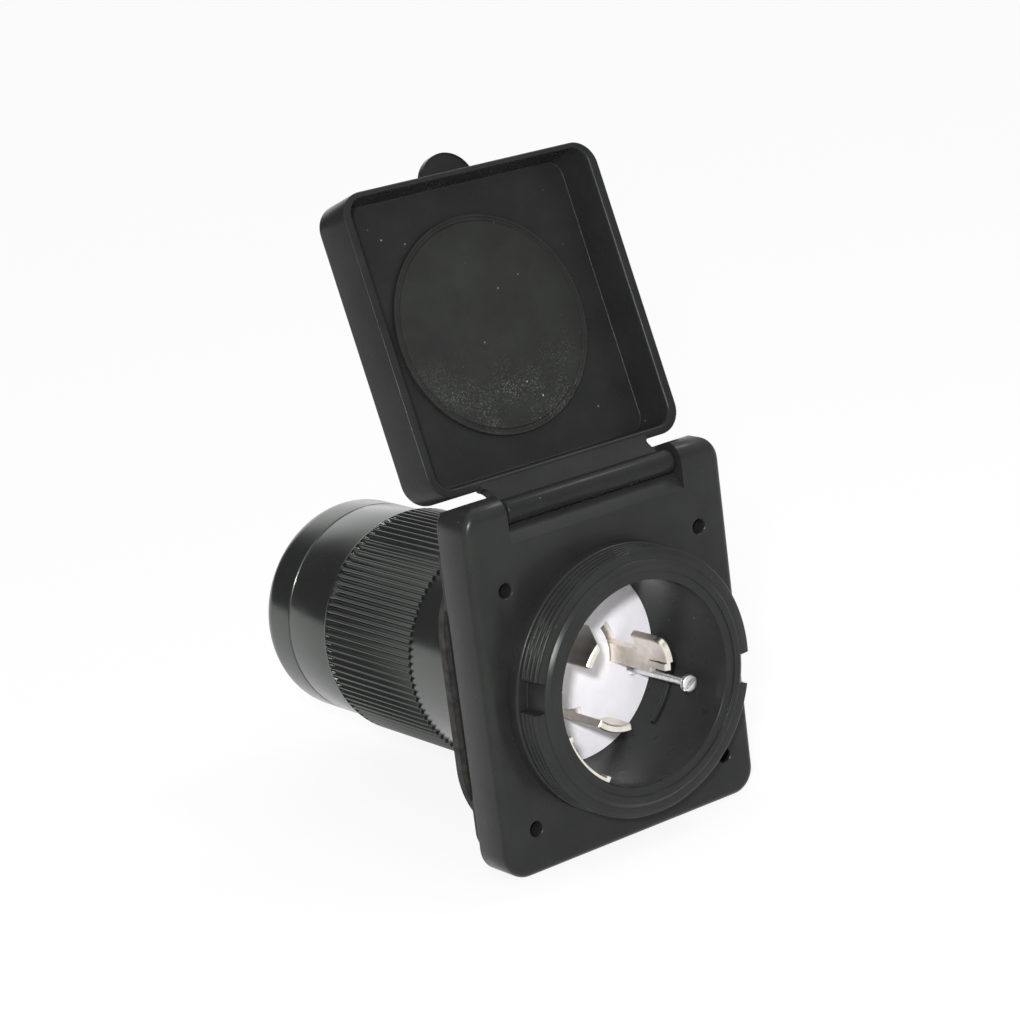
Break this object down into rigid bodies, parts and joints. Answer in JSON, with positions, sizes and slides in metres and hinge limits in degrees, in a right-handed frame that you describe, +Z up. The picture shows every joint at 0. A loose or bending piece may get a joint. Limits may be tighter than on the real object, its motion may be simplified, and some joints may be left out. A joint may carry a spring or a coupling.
{
  "type": "power inlet",
  "caption": "Flush-mounted power inlet: square flange with a hinged hollow lid, threaded collar round curved locking blades, and a round rear barrel with a ribbed coupling ring",
  "frame": {"origin": "on the axis of the mouth, in the plane of the panel that the gasket seats on", "axes": "-Y is the way the mouth faces, +X is right seen from the front, +Z is up with the lid's hinge at the top"},
  "size_m": [0.1028, 0.1724, 0.2203],
  "materials": {
    "housing_plastic": "black moulded plastic with a soft sheen",
    "lid_plastic": "black moulded plastic with a soft sheen and a little dust",
    "pad_rubber": "dull black rubber with pale dust on its lower part",
    "pin_steel": "bright steel",
    "gasket_rubber": "dark grey rubber",
    "carrier_plastic": "white insulating plastic",
    "blade_metal": "nickel-plated brass, warm grey",
    "screw_steel": "bright plated steel",
    "block_plastic": "black insulating plastic",
    "clamp_brass": "plain brass",
    "barrel_plastic": "black glossy plastic"
  },
  "bodies": {
    "inlet": {"flange_housing": "housing_plastic", "hinge_pin": "pin_steel", "flange_gasket": "gasket_rubber", "contact_carrier": "carrier_plastic", "blade_right": "blade_metal", "blade_upper": "blade_metal", "blade_lower": "blade_metal", "ground_strip": "blade_metal", "carrier_screw": "screw_steel", "terminal_block": "block_plastic", "terminal_clamps": "clamp_brass", "terminal_screws": "screw_steel", "block_screws": "screw_steel", "barrel_seal": "gasket_rubber", "rear_barrel": "barrel_plastic", "end_cap": "barrel_plastic", "cord_grommet": "gasket_rubber"},
    "lid": {"lid": "lid_plastic", "lid_pad": "pad_rubber"},
    "coupling": {"coupling_ring": "barrel_plastic"}
  },
  "joints": [
    {"name": "lid_hinge", "type": "hinge", "parent": "inlet", "child": "lid", "pos_m": [0, -0.0186, 0.0619], "axis": [1, 0, 0], "range_deg": [0, 198.4]},
    {"name": "coupling_turn", "type": "hinge", "parent": "inlet", "child": "coupling", "pos_m": [0, 0.062, 0], "axis": [0, 1, 0], "range_deg": [0, 60]}
  ]
}
